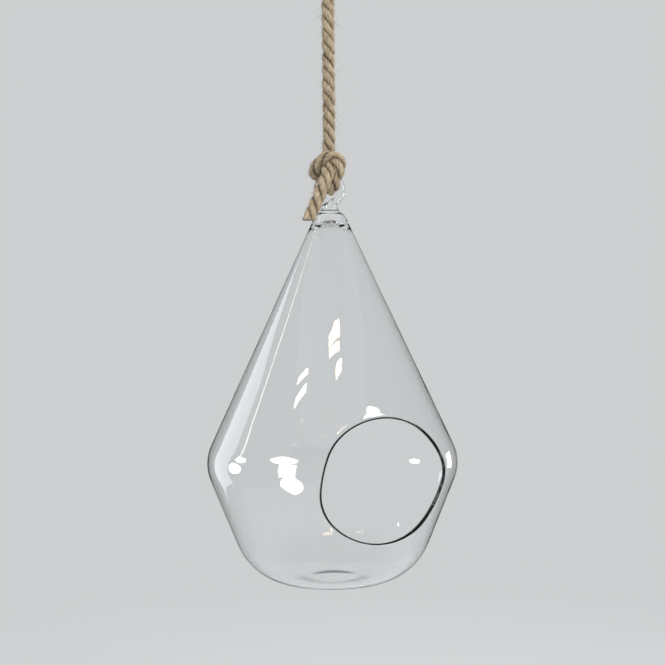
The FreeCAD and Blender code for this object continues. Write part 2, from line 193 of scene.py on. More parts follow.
class VaseColours(PropertyGroup):
    """Colours of the finishes and of the studio."""

    glass: colour("Glass", "Tint of the clear glass", "FCFDFD")
    jute_light: colour("Jute light", "Sunlit fibres of the jute", "D0BC9D")
    # The dark jute colour is used for darker fibres, and also as the painted shade in the grooves between
    # strands.
    jute_dark_and_groove_shade: colour("Jute dark", "Fibres between the yarns", "584833")
    backdrop: colour("Backdrop", "The pale studio round the vase", "CDCFD0")
    floor: colour("Floor", "The pale floor", "E0E2E3")


class VaseStage(PropertyGroup):
    """The camera and what it looks at."""

    azimuth: angle("Azimuth", "Camera's place round the vase, from the opening's side", -27.4)
    distance: length("Distance", "Camera from the vase's axis", 596.7 * MM)
    level: length("Level", "Camera's height above the shoulder", 62.6 * MM)
    pitch: angle("Pitch", "Camera's turn down from level", 0.05)
    yaw: angle("Yaw", "Camera's turn away from the axis", -0.065)
    roll: angle("Roll", "Camera's tilt to one side", -0.57)
    lens: FloatProperty(name="Lens", description="Millimetres on a 36 mm sensor", default=67.1)
    floor_gap: length("Floor gap", "Floor below the foot", 120 * MM)


def settings():
    """The four groups of values, by name."""
    scene = bpy.context.scene
    return scene.vase_glass, scene.vase_rope, scene.vase_colours, scene.vase_stage


def link(name, data):
    """A new object of the scene, at the origin."""
    made = bpy.data.objects.new(name, data)
    bpy.context.scene.collection.objects.link(made)
    return made


def taken(obj):
    """The finished mesh of an object, which is then removed."""
    ready = obj.evaluated_get(bpy.context.evaluated_depsgraph_get())
    mesh = bpy.data.meshes.new_from_object(ready)
    bpy.data.objects.remove(obj)
    return mesh


def piece_from(bm, name):
    """A smooth-shaded object from a bmesh, which is then freed."""
    mesh = bpy.data.meshes.new(name)
    bm.to_mesh(mesh)
    bm.free()
    mesh.shade_smooth()
    return link(name, mesh)


# Materials

def add_node(tree, kind, values=None, links=None, **traits):
    """A node with its own traits, its input values, and links from other nodes' sockets."""
    node = tree.nodes.new(kind)
    for key, value in traits.items():
        setattr(node, key, value)
    for key, value in (values or {}).items():
        node.inputs[key].default_value = value
    for key, socket in (links or {}).items():
        tree.links.new(socket, node.inputs[key])
    return node


def new_material(name):
    """An empty node material and its tree."""
    material = bpy.data.materials.new(name)
    material.use_nodes = True
    material.node_tree.nodes.clear()
    return material, material.node_tree


def clear_soda_lime_glass(colours):
    """Mouth-blown soda-lime glass: clear and glossy, its skin faintly uneven from the blowing."""
    ripple_length = 16 * MM
    ripple_height = 0.2 * MM
    material, tree = new_material("clear_soda_lime_glass")
    place = add_node(tree, "ShaderNodeTexCoord")
    ripple = add_node(
        tree, "ShaderNodeTexNoise", {"Scale": 1 / ripple_length, "Detail": 1.0, "Roughness": 0.4},
        {"Vector": place.outputs["Object"]})
    bump = add_node(
        tree, "ShaderNodeBump", {"Strength": 0.25, "Distance": ripple_height},
        {"Height": ripple.outputs["Fac"]})
    surface = add_node(
        tree, "ShaderNodeBsdfPrincipled",
        {"Base Color": (*colours.glass, 1), "Roughness": 0.0, "IOR": 1.52, "Transmission Weight": 1.0},
        {"Normal": bump.outputs["Normal"]})
    add_node(tree, "ShaderNodeOutputMaterial", links={"Surface": surface.outputs["BSDF"]})
    return material


def jute(colours):
    """Laid jute: coarse dull bast fibres along each yarn, with painted shade in the grooves between
    strands.
    """
    fibre_width = 0.28 * MM
    width_to_length = 0.09
    fibre_relief = 0.15 * MM
    patch_size = 5 * MM
    tone_shift = -0.12
    material, tree = new_material("natural_jute")
    along = add_node(tree, "ShaderNodeAttribute", attribute_name="fibre")
    stretched = add_node(
        tree, "ShaderNodeMapping", {"Scale": (1, 1, width_to_length)},
        {"Vector": along.outputs["Vector"]})
    fibre = add_node(
        tree, "ShaderNodeTexNoise", {"Scale": 1 / fibre_width, "Detail": 3.0, "Roughness": 0.65},
        {"Vector": stretched.outputs["Vector"]})
    patch = add_node(
        tree, "ShaderNodeTexNoise", {"Scale": 1 / patch_size, "Detail": 2.0},
        {"Vector": along.outputs["Vector"]})
    # The outward attribute is 0 in the grooves between strands, so the fibres there are painted in the
    # dark shade colour.
    out = add_node(tree, "ShaderNodeAttribute", attribute_name="outward")
    tone_and_groove_shade = add_node(
        tree, "ShaderNodeMath", {2: tone_shift}, {0: fibre.outputs["Fac"], 1: out.outputs["Fac"]},
        operation="MULTIPLY_ADD")
    tone_span = add_node(
        tree, "ShaderNodeMapRange", {"From Min": 0.13, "From Max": 0.49},
        {"Value": tone_and_groove_shade.outputs["Value"]})
    blend = add_node(
        tree, "ShaderNodeMix", {"A": (*colours.jute_dark_and_groove_shade, 1), "B": (*colours.jute_light, 1)},
        {"Factor": tone_span.outputs["Result"]}, data_type="RGBA")
    vary = add_node(
        tree, "ShaderNodeMapRange", {"From Min": 0.3, "From Max": 0.7, "To Min": 0.86, "To Max": 1.08},
        {"Value": patch.outputs["Fac"]})
    shade = add_node(
        tree, "ShaderNodeHueSaturation", {},
        {"Value": vary.outputs["Result"], "Color": blend.outputs["Result"]})
    bump = add_node(
        tree, "ShaderNodeBump", {"Strength": 0.8, "Distance": fibre_relief},
        {"Height": fibre.outputs["Fac"]})
    surface = add_node(
        tree, "ShaderNodeBsdfPrincipled",
        {"Roughness": 0.85, "Specular IOR Level": 0.25, "Sheen Weight": 0.15, "Sheen Roughness": 0.5},
        {"Base Color": shade.outputs["Color"], "Normal": bump.outputs["Normal"]})
    add_node(tree, "ShaderNodeOutputMaterial", links={"Surface": surface.outputs["BSDF"]})
    return material


def jute_fibre(colours):
    """Single jute fibres that have worked loose: pale, dry and a little shiny."""
    patch_size = 1.5 * MM
    material, tree = new_material("loose_jute_fibre")
    place = add_node(tree, "ShaderNodeTexCoord")
    patch = add_node(
        tree, "ShaderNodeTexNoise", {"Scale": 1 / patch_size, "Detail": 1.0},
        {"Vector": place.outputs["Object"]})
    blend = add_node(
        tree, "ShaderNodeMix", {"A": (*colours.jute_dark_and_groove_shade, 1), "B": (*colours.jute_light, 1)},
        {"Factor": patch.outputs["Fac"]}, data_type="RGBA")
    surface = add_node(
        tree, "ShaderNodeBsdfPrincipled", {"Roughness": 0.6, "Specular IOR Level": 0.4},
        {"Base Color": blend.outputs["Result"]})
    add_node(tree, "ShaderNodeOutputMaterial", links={"Surface": surface.outputs["BSDF"]})
    return material


# Rope

def rope_route(rope):
    """Points of the whole rope, from the cut tail up to the top tail."""
    eye_top = Vector((0, 0, -rope.eye_drop))
    loop_foot = Vector((0, 0, -rope.top_knot_drop))

    def below(points):
        return [eye_top + Vector(point) for point in points]

    def above(points):
        return [loop_foot + Vector(point) for point in points]

    def turned(points):
        return [loop_foot + Vector((x, y, -z)) for x, y, z in reversed(points)]

    return (
        below(TAIL_ROUTE + WRAP_ROUTE + BIGHT_ROUTE + CORE_ROUTE + STRAIGHT_ROUTE)
        + turned(CORE_ROUTE + STRAIGHT_ROUTE) + above(reversed(LOOP_ROUTE))
        + turned(TOP_TAIL_ROUTE + WRAP_ROUTE)
    )


def curve_through(name, runs, kind="POLY", radii=None):
    """A curve object with one open spline for each run of points."""
    curve = bpy.data.curves.new(name, "CURVE")
    curve.dimensions = "3D"
    for number, points in enumerate(runs):
        spline = curve.splines.new(kind)
        spline.points.add(len(points) - 1)
        for place, point in zip(spline.points, points):
            place.co = (*point, 1)
        if radii:
            spline.points.foreach_set("radius", radii[number])
    return link(name, curve)


ROUTE_RESOLUTION = 24


def rope_line(rope):
    """Points close together on the rope's own line, read from the spline of its route."""
    route = curve_through("rope_route", [rope_route(rope)], "NURBS")
    spline = route.data.splines[0]
    spline.order_u = 3
    spline.use_endpoint_u = True
    spline.resolution_u = ROUTE_RESOLUTION
    return [vertex.co.copy() for vertex in taken(route).vertices]


def even_steps(points, step):
    """The same line with its points one step apart."""
    made = [points[0].copy()]
    left = step
    for first, second in zip(points, points[1:]):
        run = (second - first).length
        at = left
        while at <= run:
            made.append(first.lerp(second, at / run))
            at += step
        left = at - run
    return made


def carried_sides(points):
    """For each point of a line, its direction and two sides that turn as little as they can."""
    made = []
    side = Vector((1, 0, 0))
    for number in range(len(points)):
        before = points[max(number - 1, 0)]
        after = points[min(number + 1, len(points) - 1)]
        along = (after - before).normalized()
        side = (side - side.dot(along) * along).normalized()
        made.append((along, side, along.cross(side)))
    return made


# The rope's line has a point at every step. It has three strands of seven yarns.
ROPE_STEP = 0.55 * MM
STRANDS = 3
YARNS = 7
SIDES_PER_YARN = 4

# Depth of the grooves between yarns, and the steps in which a yarn goes once round its strand
YARN_DEPTH_SHARE = 0.14
YARN_TURN_STEPS = 34

# Two noises make each strand uneven. Their values are a length along the rope, how far apart the
# strands lie in the noise, and the level that they lie at.
WANDER_NOISE = (9 * MM, 7.3, 0.5)
SWELL_NOISE = (6 * MM, 3.1, 9.5)
WANDER_TURN = 0.25
WANDER_THICKNESS_SHARE = 0.07
SWELL_REACH_SHARE = 0.06


def uneven(step, number, wave, apart, level):
    """Smooth noise along one strand, from -1 to 1."""
    return noise.noise(Vector((step * ROPE_STEP / wave, apart * number, level)))


def strand_line(line, sides, rope, number):
    """Centre points of one strand, which winds round the rope's line, and its thickness there."""
    points = []
    thickness = []
    for step, (point, (_, side, across)) in enumerate(zip(line, sides)):
        turn = 2 * math.pi * (number / STRANDS - step * ROPE_STEP / rope.lay)
        wander = uneven(step, number, *WANDER_NOISE)
        swell = uneven(step, number, *SWELL_NOISE)
        turn += WANDER_TURN * wander
        outward = math.cos(turn) * side + math.sin(turn) * across
        points.append(point + rope.strand_reach * (1 + SWELL_REACH_SHARE * swell) * outward)
        thickness.append(1 + WANDER_THICKNESS_SHARE * wander)
    return points, thickness


def strand_mesh(points, thickness, rope, number):
    """One strand of the rope, its yarns standing out along it."""
    sides = SIDES_PER_YARN * YARNS
    ring = curve_through(f"yarn_outline_{number}", [[
        Vector((math.cos(turn), math.sin(turn), 0)) * (rope.strand_diameter / 2)
        * (1 - YARN_DEPTH_SHARE + YARN_DEPTH_SHARE * abs(math.sin(YARNS * turn / 2)))
        for turn in (2 * math.pi * side / sides for side in range(sides))
    ]])
    ring.data.splines[0].use_cyclic_u = True
    strand = curve_through(f"strand_{number}", [points], radii=[thickness])
    strand.data.bevel_mode = "OBJECT"
    strand.data.bevel_object = ring
    strand.data.use_fill_caps = True
    twist = [2 * math.pi * step / YARN_TURN_STEPS for step in range(len(points))]
    strand.data.splines[0].points.foreach_set("tilt", twist)
    mesh = taken(strand)
    bpy.data.objects.remove(ring)
    return mesh


def cut_level(bm, level):
    """Cut everything off below a level and close the cut strands."""
    bmesh.ops.bisect_plane(
        bm, geom=bm.verts[:] + bm.edges[:] + bm.faces[:], plane_co=(0, 0, level), plane_no=UP,
        clear_inner=True)
    bmesh.ops.holes_fill(bm, edges=boundary(bm, lambda at: abs(at.z - level) < SAME_PLACE))


# Where a strand's surface counts as groove, which is painted in shade, and as skin of the rope, as shares
# of the rope's radius
GROOVE_SHARE = 0.45
SKIN_SHARE = 0.95


def mark_fibres(mesh, points, line, sides, rope, number):
    """Give a strand's vertices their place along and across it, and how far out of the rope they are, the
    mask for the painted shade in the grooves.
    """
    mesh.attributes.new("fibre", "FLOAT_VECTOR", "POINT")
    mesh.attributes.new("outward", "FLOAT", "POINT")
    fibre = mesh.attributes["fibre"]
    outward = mesh.attributes["outward"]
    tree = KDTree(len(points))
    for step, point in enumerate(points):
        tree.insert(point, step)
    tree.balance()
    for vertex in mesh.vertices:
        _, step, _ = tree.find(vertex.co)
        _, side, across = sides[step]
        away = vertex.co - points[step]
        turn = 2 * math.pi * step / YARN_TURN_STEPS
        x, y = away.dot(side), away.dot(across)
        fibre.data[vertex.index].vector = (
            x * math.cos(turn) + y * math.sin(turn),
            y * math.cos(turn) - x * math.sin(turn),
            step * ROPE_STEP + number,
        )
        reach_share = (vertex.co - line[step]).length / (rope.diameter / 2)
        share = (reach_share - GROOVE_SHARE) / (SKIN_SHARE - GROOVE_SHARE)
        outward.data[vertex.index].value = min(max(share, 0), 1)


FIBRE_SEED = 11
FIBRE_RADIUS = 0.045 * MM

# Fibres that the swinging glass comes nearer to than this are left out.
FIBRE_CLEARANCE = 0.3 * MM

# Thickness of a fibre at its points, from its root to its tip
FIBRE_TAPER_SHARES = [1.0, 1.0, 0.9, 0.7, 0.3]

# Fibres start a few steps from the rope's ends, a little under its skin.
FIBRE_END_STEPS = 2
FIBRE_ROOT_SHARE = 0.9

# Least and most reach of a fibre and of the few long ones, in millimetres
FIBRE_REACH = (0.8, 2.6)
LONG_FIBRE_REACH = (3, 6)
LONG_FIBRE_SHARE = 0.07

# How much a fibre heads along, to the side of and out of the rope, and how much it curls
HEADING_ALONG = (0.5, 1.2)
HEADING_SIDEWAYS = 0.35
HEADING_OUTWARD = 0.15
CURL_OUTWARD = (0.1, 0.9)
CURL_SIDEWAYS = (-0.5, 0.5)

# The swing of the vase in degrees, and the steps in which it is tested
SWING_LIMIT = 25
SWING_STEP = 5


def brushed_by_glass(point, glass, rope):
    """Whether the ring, the neck or the cone comes to a point while the vase swings."""
    eye_top = Vector((0, 0, -rope.eye_drop))
    rod = glass.eye_rod_diameter / 2
    ring = EYE_HIGH.x - rod
    slope = (glass.widest_diameter - glass.cone_top_diameter) / 2 / (
        GLASS_HIGH.z - GLASS_LOW.z - glass.shoulder_height)
    for degrees in range(-SWING_LIMIT, SWING_LIMIT + 1, SWING_STEP):
        swing = Matrix.Rotation(math.radians(degrees), 3, "X")
        x, y, z = swing @ (point - eye_top) + eye_top
        gap = math.hypot(math.hypot(x, z - RING_LEVEL) - ring, y) - rod
        if z < RING_LEVEL - ring:
            cone = glass.cone_top_diameter / 2 + max(GLASS_HIGH.z - z, 0) * slope
            gap = min(gap, math.hypot(x, y) - cone)
        if gap < FIBRE_CLEARANCE:
            return True
    return False


def stray_fibre(draw, line, sides, rope):
    """Points of one loose fibre that leaves the rope's skin at a low angle and curls away."""
    step = draw.randrange(FIBRE_END_STEPS, len(line) - FIBRE_END_STEPS)
    along, side, across = sides[step]
    turn = draw.uniform(0, 2 * math.pi)
    outward = math.cos(turn) * side + math.sin(turn) * across
    sideways = along.cross(outward) * draw.uniform(-1, 1)
    reach = draw.uniform(*FIBRE_REACH) * MM
    if draw.random() < LONG_FIBRE_SHARE:
        reach = draw.uniform(*LONG_FIBRE_REACH) * MM
    heading = along * draw.choice((-1, 1)) * draw.uniform(*HEADING_ALONG)
    heading = (heading + HEADING_SIDEWAYS * sideways + HEADING_OUTWARD * outward).normalized()
    curl = outward * draw.uniform(*CURL_OUTWARD) + sideways * draw.uniform(*CURL_SIDEWAYS)
    root = line[step] + outward * (rope.diameter / 2 * FIBRE_ROOT_SHARE)
    last = len(FIBRE_TAPER_SHARES) - 1
    shares = [number / last for number in range(last + 1)]
    return [root + reach * share * (heading + share * curl) for share in shares]


def stray_fibres(line, sides, rope, glass):
    """Mesh of the loose fibres, without those that the swinging glass would brush."""
    draw = random.Random(FIBRE_SEED)
    drawn = [stray_fibre(draw, line, sides, rope) for _ in range(rope.fibres)]
    runs = [
        points for points in drawn if not any(brushed_by_glass(point, glass, rope) for point in points)]
    fibres = curve_through("fibres", runs, radii=[FIBRE_TAPER_SHARES] * len(runs))
    fibres.data.bevel_depth = FIBRE_RADIUS
    fibres.data.bevel_resolution = 0
    return taken(fibres)


def laid_strands(line, sides, rope):
    """The rope's strands as one piece, with the lower tail cut level."""
    bm = bmesh.new()
    for number in range(STRANDS):
        points, thickness = strand_line(line, sides, rope, number)
        mesh = strand_mesh(points, thickness, rope, number)
        mark_fibres(mesh, points, line, sides, rope, number)
        bm.from_mesh(mesh)
        bpy.data.meshes.remove(mesh)
    cut_level(bm, -rope.eye_drop - rope.tail_cut)
    return piece_from(bm, "jute_rope")


class VASE_OT_rope(Operator):
    """Lay the jute rope along its route, with its three strands, two knots and cut ends"""

    bl_idname = "vase.rope"
    bl_label = "Jute Rope"

    def execute(self, context):
        glass, rope, colours, _ = settings()
        line = even_steps(rope_line(rope), ROPE_STEP)
        sides = carried_sides(line)
        piece = laid_strands(line, sides, rope)
        piece.data.materials.append(jute(colours))
        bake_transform(piece)
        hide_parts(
            "rope_tail", "eye_knot", "eye_bight", "rope_lower", "rope_upper", "top_knot", "hang_loop",
            "top_tail")

        mesh = stray_fibres(line, sides, rope, glass)
        mesh.shade_smooth()
        fuzz = link("loose_fibres", mesh)
        fuzz.data.materials.append(jute_fibre(colours))
        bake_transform(fuzz)
        return {"FINISHED"}


# Glass

# Segments round the vessel, to either side of the opening's middle, and round the ring
SEGMENTS = 96
OPENING_SEGMENTS = 10
EYE_SEGMENTS = 12
EYE_SECTION_SIDES = 8
EYE_LEVELS = 3


def line_to(bm, pen, x, z, runs=1):
    """Draw a straight stretch of the outline from the pen's vertex, in equal runs."""
    start = pen.co.copy()
    for run in range(runs):
        pen = bmesh.ops.extrude_vert_indiv(bm, verts=[pen])["verts"][0]
        pen.co = start.lerp(Vector((x, 0, z)), (run + 1) / runs)
    return pen


def arc_by(bm, pen, centre, turn, runs):
    """Draw an arc of the outline about a centre, anticlockwise for a positive turn."""
    made = bmesh.ops.spin(
        bm, geom=[pen], cent=(centre[0], 0, centre[1]), axis=(0, 1, 0), angle=-turn, steps=runs,
        use_merge=False)
    return made["geom_last"][0]


class Outline:
    """Where the straight and round stretches of the vessel's wall meet, above the foot."""

    def __init__(self, glass, inset):
        """Find the turns at which the shoulder's round meets the upper and the lower cone."""
        self.inset = inset
        self.shoulder = Vector((glass.widest_diameter / 2 - glass.shoulder_round, glass.shoulder_height))
        self.base = Vector((glass.foot_diameter / 2, glass.base_round))
        self.cone_top = Vector((glass.cone_top_diameter / 2, GLASS_HIGH.z - GLASS_LOW.z))
        self.shoulder_round = glass.shoulder_round
        self.base_round = glass.base_round
        to_top = self.cone_top - self.shoulder
        self.upper = math.atan2(to_top.y, to_top.x) - math.acos(glass.shoulder_round / to_top.length)
        rise = self.shoulder - self.base
        lean = math.acos((glass.base_round - glass.shoulder_round) / rise.length)
        self.lower = math.atan2(rise.y, rise.x) - lean

    def on_shoulder(self, turn):
        """Point on the shoulder's round where the face looks up by a turn."""
        reach = self.shoulder_round - self.inset
        return self.shoulder + reach * Vector((math.cos(turn), math.sin(turn)))

    def radius_at(self, height):
        """Radius of the wall's face at a height beside the opening."""
        low = self.on_shoulder(self.lower)
        high = self.on_shoulder(self.upper)
        if height < low.y:
            return low.x + (low.y - height) * math.tan(self.lower)
        if height > high.y:
            return high.x - (height - high.y) * math.tan(self.upper)
        reach = self.shoulder_round - self.inset
        return self.shoulder.x + math.sqrt(reach ** 2 - (height - self.shoulder.y) ** 2)


# Runs of each stretch of the outline: punt, base, lower cone, shoulder, cone beside and above the
# opening, the cavity's tip, and the flare of the neck
PUNT_RUNS = 3
BASE_RUNS = 9
LOWER_RUNS = 10
SHOULDER_RUNS = 8
BESIDE_RUNS = 6
CONE_RUNS = 15
TIP_RUNS = 5
FLARE_RUNS = 6

# The faces beside the opening, which are rebuilt round its oval, reach this far past it.
OPENING_MARGIN = 4.2 * MM
MARGIN_CUTS = 2

# Round of the crease between the cone and the neck
CREASE_ROUND = 0.9 * MM


def lead_to_tip(bm, pen, line, glass):
    """Draw the inner face's cone and the round end of the cavity."""
    side = line.on_shoulder(line.upper)
    across = math.cos(line.upper)
    climb = math.sin(line.upper)
    tip_level = (side.x * across + side.y * climb - glass.cavity_tip_round) / climb
    pen = line_to(
        bm, pen, glass.cavity_tip_round * across, tip_level + glass.cavity_tip_round * climb, CONE_RUNS)
    arc_by(bm, pen, (0, tip_level), math.pi / 2 - line.upper, TIP_RUNS)


def lead_to_neck(bm, pen, line, glass):
    """Draw the outer face's cone and the flare up to the neck's waist, with a round crease."""
    pen = line_to(bm, pen, *line.cone_top, CONE_RUNS)
    waist = glass.neck_waist_diameter / 2
    flare = line.cone_top.x - waist
    flare_radius = (flare ** 2 + glass.neck_waist_rise ** 2) / (2 * flare)
    centre = (waist + flare_radius, line.cone_top.y + glass.neck_waist_rise)
    turn = math.asin(glass.neck_waist_rise / flare_radius)
    arc_by(bm, pen, centre, -turn, FLARE_RUNS)
    bmesh.ops.bevel(
        bm, geom=[pen], offset=CREASE_ROUND, segments=2, profile=0.5, affect="VERTICES", material=-1)


def wall_face(glass, inset):
    """One face of the vessel's wall, turned about the axis: the outer one, or the inner one at inset."""
    line = Outline(glass, inset)
    bm = bmesh.new()
    rim_x = glass.foot_diameter / 2 - (0 if inset else glass.foot_ring_width)
    punt_radius = (rim_x ** 2 + glass.punt_rise ** 2) / (2 * glass.punt_rise)
    pen = bmesh.ops.create_vert(bm, co=(0, 0, inset + glass.punt_rise))["vert"][0]
    pen = arc_by(
        bm, pen, (0, inset + glass.punt_rise - punt_radius), -math.asin(rim_x / punt_radius), PUNT_RUNS)
    if not inset:
        pen = line_to(bm, pen, line.base.x, 0)
    pen = arc_by(bm, pen, line.base, math.pi / 2 + line.lower, BASE_RUNS)
    pen = line_to(bm, pen, *line.on_shoulder(line.lower), LOWER_RUNS)
    pen = arc_by(bm, pen, line.shoulder, line.upper - line.lower, SHOULDER_RUNS)
    beside = glass.shoulder_height - glass.opening_drop + glass.opening_height / 2 + OPENING_MARGIN
    pen = line_to(bm, pen, line.radius_at(beside), beside, BESIDE_RUNS)
    lead_on = lead_to_tip if inset else lead_to_neck
    lead_on(bm, pen, line, glass)
    bmesh.ops.spin(
        bm, geom=bm.verts[:] + bm.edges[:], cent=(0, 0, 0), axis=UP, angle=2 * math.pi, steps=SEGMENTS,
        use_merge=True)
    bmesh.ops.remove_doubles(bm, verts=bm.verts, dist=SAME_PLACE)
    return bm, line


# The border round the rebuilt faces isn't moved, so they end at this share of its turn.
JUST_INSIDE = 0.999


def open_side(bm, line, glass):
    """Cut the oval opening through one face of the wall and lead the faces beside it to its rim."""
    half_width = glass.opening_width / 2
    half_height = glass.opening_height / 2
    level = glass.shoulder_height - glass.opening_drop
    half_turn = OPENING_SEGMENTS * 2 * math.pi / SEGMENTS

    def beside_opening(face):
        """Whether a face lies where the opening and its margin go."""
        x, y, z = face.calc_center_median()
        turn = math.atan2(x, -y)
        return abs(turn) < half_turn and abs(z - level) < half_height + OPENING_MARGIN

    gone = [face for face in bm.faces if beside_opening(face)]
    bmesh.ops.delete(bm, geom=gone, context="FACES")
    border = [
        edge for edge in bm.edges
        if edge.is_boundary and abs(edge.verts[0].co.z - level) < 2 * half_height]
    made = bmesh.ops.extrude_edge_only(bm, edges=border)["geom"]
    rim = [item for item in made if isinstance(item, bmesh.types.BMVert)]
    for vertex in rim:
        turn = math.atan2((vertex.co.z - level) / half_height, vertex.co.x / half_width)
        vertex.co.x = half_width * math.cos(turn)
        vertex.co.z = level + half_height * math.sin(turn)
    near = set(rim)
    cross = [edge for edge in bm.edges if (edge.verts[0] in near) != (edge.verts[1] in near)]
    bmesh.ops.subdivide_edges(bm, edges=cross, cuts=MARGIN_CUTS)
    reach = half_turn * glass.widest_diameter
    for vertex in bm.verts:
        x, y, z = vertex.co
        beside = y < 0 and abs(x) < reach and abs(z - level) < half_height + OPENING_MARGIN
        if beside and (abs(math.atan2(x, -y)) < half_turn * JUST_INSIDE or vertex in near):
            vertex.co.y = -math.sqrt(max(line.radius_at(z) ** 2 - x ** 2, 0))


def boundary(bm, test):
    """The open edges of a mesh whose middle passes a test."""
    return [
        edge for edge in bm.edges
        if edge.is_boundary and test((edge.verts[0].co + edge.verts[1].co) / 2)]


def smoothed_share(corners):
    """Share of its radius to which subdivision draws in a regular ring of corners."""
    return (2 + math.cos(2 * math.pi / corners)) / 3


# The eye's neck ends in a round collar, this far above the waist of the vessel's own neck.
COLLAR_RISE = 0.9 * MM
COLLAR_DEPTH = 0.6 * MM

# Faces of the ring whose middle is further out than this share of its radius are its outer ones.
OUTER_SHARE = 0.97


def eye_cage(glass):
    """Smooth ring of glass rod, its axis along Y, that runs out into a round neck below it."""
    rod = glass.eye_rod_diameter / 2
    ring = EYE_HIGH.z - rod - RING_LEVEL
    ring_share = smoothed_share(EYE_SEGMENTS)
    segment_turn = 2 * math.pi / EYE_SEGMENTS
    bm = bmesh.new()
    bmesh.ops.create_circle(
        bm, segments=EYE_SECTION_SIDES, radius=rod / smoothed_share(EYE_SECTION_SIDES),
        matrix=Matrix.Translation((ring, 0, 0)))
    bmesh.ops.spin(
        bm, geom=bm.verts[:] + bm.edges[:], cent=(0, 0, 0), axis=(0, 1, 0), angle=2 * math.pi,
        steps=EYE_SEGMENTS, use_merge=True)
    under = []
    for face in bm.faces:
        x, _, z = face.calc_center_median()
        lowest = z < 0 and abs(x) < -z * math.tan(segment_turn)
        if lowest and math.hypot(x, z) > ring * OUTER_SHARE:
            under.append(face)
    bmesh.ops.delete(bm, geom=under, context="FACES")
    bmesh.ops.scale(bm, vec=(1 / ring_share, 1, 1 / ring_share), verts=bm.verts)

    made = bmesh.ops.extrude_edge_only(bm, edges=boundary(bm, lambda at: True))["geom"]
    collar = [item for item in made if isinstance(item, bmesh.types.BMVert)]
    collar.sort(key=lambda vertex: math.atan2(vertex.co.y, vertex.co.x))
    waist = glass.neck_waist_diameter / 2 / ring_share
    waist_level = GLASS_HIGH.z + glass.neck_waist_rise + COLLAR_RISE - RING_LEVEL
    for number, vertex in enumerate(collar):
        turn = -math.pi + (number + 1) * segment_turn
        vertex.co = Vector((waist * math.cos(turn), waist * math.sin(turn), waist_level))
    made = bmesh.ops.extrude_edge_only(bm, edges=boundary(bm, lambda at: True))["geom"]
    for item in made:
        if isinstance(item, bmesh.types.BMVert):
            item.co.z -= COLLAR_DEPTH
    bmesh.ops.translate(bm, vec=(0, 0, RING_LEVEL), verts=bm.verts)
    cage = piece_from(bm, "eye_cage")
    add_subdivision(cage, EYE_LEVELS)
    return taken(cage)


def add_subdivision(obj, levels):
    """Smooth an object by subdivision, the same in the view and in the render."""
    smooth = obj.modifiers.new("smooth", "SUBSURF")
    smooth.levels = levels
    smooth.render_levels = levels


# The glass strays in long and short waves, but not near its foot, its top and its axis.
STRAY_FOOT = 4 * MM
STRAY_FADE = 20 * MM
STRAY_AXIS = 1 * MM
LONG_WAVE = 24 * MM
SHORT_WAVE = 9 * MM
SHORT_WAVE_SHARE = 0.35


def blow(bm, glass):
    """Let the wall stray a little from its true form, as mouth-blown glass does."""
    foot = GLASS_LOW.z + STRAY_FOOT
    for vertex in bm.verts:
        above_foot = min(max((vertex.co.z - foot) / STRAY_FADE, 0), 1)
        below_top = min(max((GLASS_HIGH.z - vertex.co.z) / STRAY_FADE, 0), 1)
        share = above_foot * below_top
        around = Vector((vertex.co.x, vertex.co.y, 0))
        if share and around.length > STRAY_AXIS:
            stray = noise.noise(vertex.co / LONG_WAVE)
            stray += SHORT_WAVE_SHARE * noise.noise(vertex.co / SHORT_WAVE)
            vertex.co += around.normalized() * glass.waviness * share * stray


def open_wall(glass):
    """Both faces of the vessel's wall with their openings, not yet joined."""
    bm = bmesh.new()
    for inset in (0, glass.wall):
        face, line = wall_face(glass, inset)
        open_side(face, line, glass)
        part = bpy.data.meshes.new("wall")
        face.to_mesh(part)
        face.free()
        bm.from_mesh(part)
        bpy.data.meshes.remove(part)
    bmesh.ops.translate(bm, vec=(0, 0, GLASS_LOW.z), verts=bm.verts)
    return bm


class VASE_OT_glass(Operator):
    """Blow the glass vessel, open its side and fuse the eye onto its top"""

    bl_idname = "vase.glass"
    bl_label = "Glass Vase"

    def execute(self, context):
        glass, _, colours, _ = settings()
        bm = open_wall(glass)
        rims = boundary(bm, lambda at: at.z < GLASS_HIGH.z)
        bmesh.ops.bridge_loops(bm, edges=rims)
        bmesh.ops.recalc_face_normals(bm, faces=bm.faces)
        bmesh.ops.bevel(
            bm, geom=rims, offset=glass.rim_polish, segments=2, profile=0.5, affect="EDGES", material=-1,
            clamp_overlap=True)
        eye = eye_cage(glass)
        bm.from_mesh(eye)
        bpy.data.meshes.remove(eye)
        bmesh.ops.bridge_loops(bm, edges=boundary(bm, lambda at: at.z > GLASS_HIGH.z))
        blow(bm, glass)
        bmesh.ops.recalc_face_normals(bm, faces=bm.faces)
        piece = piece_from(bm, "clear_glass_vase")
        add_subdivision(piece, 1)
        piece.data.materials.append(clear_soda_lime_glass(colours))
        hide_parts("glass_vessel", "hanging_eye")
        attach(piece, "vase")
        return {"FINISHED"}


# Stage

def towards(turn, elevation):
    """Direction from the vase, turned from the camera's side to its right, and up."""
    _, _, _, stage = settings()
    around = stage.azimuth + turn
    level = Vector((math.sin(around), -math.cos(around), 0))
    return level * math.cos(elevation) + UP * math.sin(elevation)


# Name, turn from the camera to its right and elevation in degrees, distance, width and height in
# metres, radiance and colour. The soft boxes light everything.
SOFT_BOXES = [
    ("fill_right", 48, 34, 1.3, 0.70, 0.70, 6.3, "FFFFFF"),
    ("fill_left", -60, 10, 1.3, 0.40, 0.70, 1.4, "FFFFFF"),
    ("fill_back", 165, 25, 1.3, 0.70, 0.70, 2.6, "FFFFFF"),
    ("overhead", 0, 86, 1.5, 1.00, 1.00, 2.2, "FFFFFF"),
]

